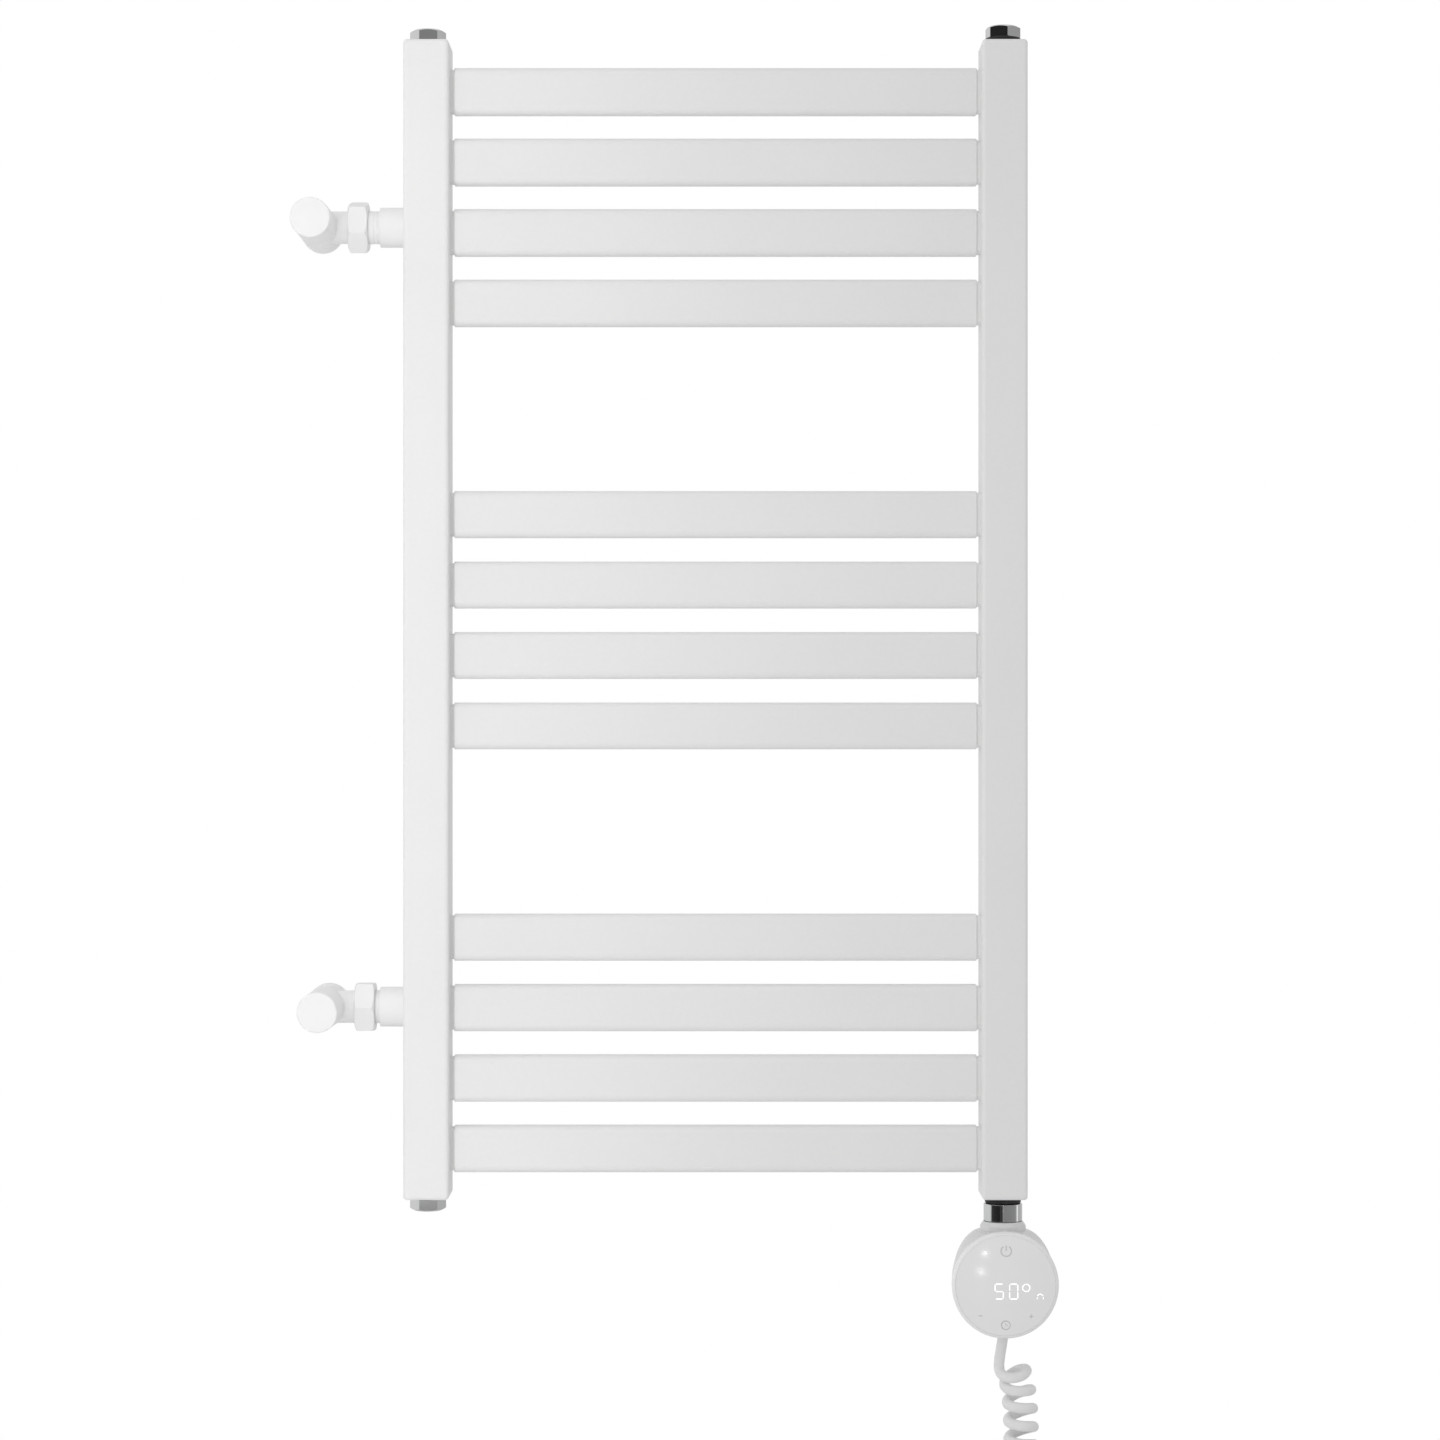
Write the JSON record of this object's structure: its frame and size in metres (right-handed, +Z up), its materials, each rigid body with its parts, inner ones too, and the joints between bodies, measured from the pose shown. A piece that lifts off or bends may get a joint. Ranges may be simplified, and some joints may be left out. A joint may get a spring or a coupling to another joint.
{
  "type": "ladder towel radiator with valves",
  "caption": "White ladder towel radiator with flat rails, side angle valves with round knobs, vent and blank plugs, and an electric heating element with touch controller and curly mains lead.",
  "frame": {"origin": "centre of the four wall fixings, on the wall plane, at the middle of the radiator's height", "axes": "+X to the right seen from the room, +Y into the wall, +Z up along the collectors"},
  "size_m": [0.4867, 0.122, 1.1228],
  "materials": {
    "powder_coat": "satin white powder coat",
    "bracket_white": "satin white powder coat",
    "steel": "bright zinc plated",
    "chrome": "polished chrome plate",
    "rubber": "matte black",
    "valve_white": "gloss white lacquer",
    "brass": "machined",
    "element_steel": "drawn stainless tube",
    "head_white": "gloss white moulding",
    "face_gloss": "clear-coated white glass look",
    "circuit_board": "solder mask",
    "display_light": "translucent white light blocks",
    "cord_white": "soft white PVC",
    "pin_metal": "nickel plated"
  },
  "bodies": {
    "radiator": {"collector_left": "powder_coat", "collector_right": "powder_coat", "rail_01": "powder_coat", "rail_02": "powder_coat", "rail_03": "powder_coat", "rail_04": "powder_coat", "rail_05": "powder_coat", "rail_06": "powder_coat", "rail_07": "powder_coat", "rail_08": "powder_coat", "rail_09": "powder_coat", "rail_10": "powder_coat", "rail_11": "powder_coat", "rail_12": "powder_coat", "end_caps": "powder_coat", "outlet_bosses": "powder_coat", "wall_sockets": "bracket_white", "bracket_posts": "bracket_white", "bracket_grub_screws": "steel", "plug_top_left": "chrome", "plug_bottom_left": "chrome", "plug_seals": "rubber", "vent_plug": "chrome", "vent_seal": "rubber", "tail_sleeve_top": "valve_white", "union_tail_top": "valve_white", "union_nut_top": "valve_white", "union_washer_top": "rubber", "valve_body_top": "valve_white", "valve_bonnet_top": "brass", "tail_sleeve_bottom": "valve_white", "union_tail_bottom": "valve_white", "union_nut_bottom": "valve_white", "union_washer_bottom": "rubber", "valve_body_bottom": "valve_white", "valve_bonnet_bottom": "brass", "heating_rod": "element_steel", "heater_fitting": "chrome", "heater_seal": "rubber", "retaining_clip": "steel"},
    "bleed_screw": {"vent_screw": "chrome"},
    "top_knob": {"valve_knob_top": "valve_white"},
    "top_stem": {"valve_stem_top": "brass", "seat_washer_top": "rubber"},
    "bottom_knob": {"valve_knob_bottom": "valve_white"},
    "bottom_stem": {"valve_stem_bottom": "brass", "seat_washer_bottom": "rubber"},
    "controller": {"head_collar": "head_white", "head_shell": "head_white", "front_bezel": "head_white", "face_lens": "face_gloss", "display_board": "circuit_board", "display_segments": "display_light", "cord_gland": "head_white", "cord_lead": "cord_white", "cord_coil": "cord_white", "cord_tail": "cord_white", "mains_plug": "cord_white", "plug_pins": "pin_metal"}
  },
  "joints": [
    {"name": "top_knob_turn", "type": "hinge", "parent": "radiator", "child": "top_knob", "pos_m": [-0.2548, -0.07, 0.252], "axis": [0, -1, 0], "range_deg": [-720, 0]},
    {"name": "top_stem_travel", "type": "slide", "parent": "radiator", "child": "top_stem", "axis": [0, 1, 0], "range_m": [0, 0.003]},
    {"name": "bottom_knob_turn", "type": "hinge", "parent": "radiator", "child": "bottom_knob", "pos_m": [-0.2504, -0.07, -0.248], "axis": [0, -1, 0], "range_deg": [-720, 0]},
    {"name": "bottom_stem_travel", "type": "slide", "parent": "radiator", "child": "bottom_stem", "axis": [0, 1, 0], "range_m": [0, 0.003]},
    {"name": "bleed_screw_turn", "type": "hinge", "parent": "radiator", "child": "bleed_screw", "pos_m": [0.1845, -0.07, 0.378], "axis": [0, 0, 1], "range_deg": [0, 360]},
    {"name": "controller_swivel", "type": "hinge", "parent": "radiator", "child": "controller", "pos_m": [0.1845, -0.07, -0.4235], "axis": [0, 0, 1], "range_deg": [-90, 90]}
  ],
  "couplings": [
    {"joint": "top_stem_travel", "follows": "top_knob_turn", "m_per_rad": -0.00023873},
    {"joint": "bottom_stem_travel", "follows": "bottom_knob_turn", "m_per_rad": -0.00023873}
  ]
}
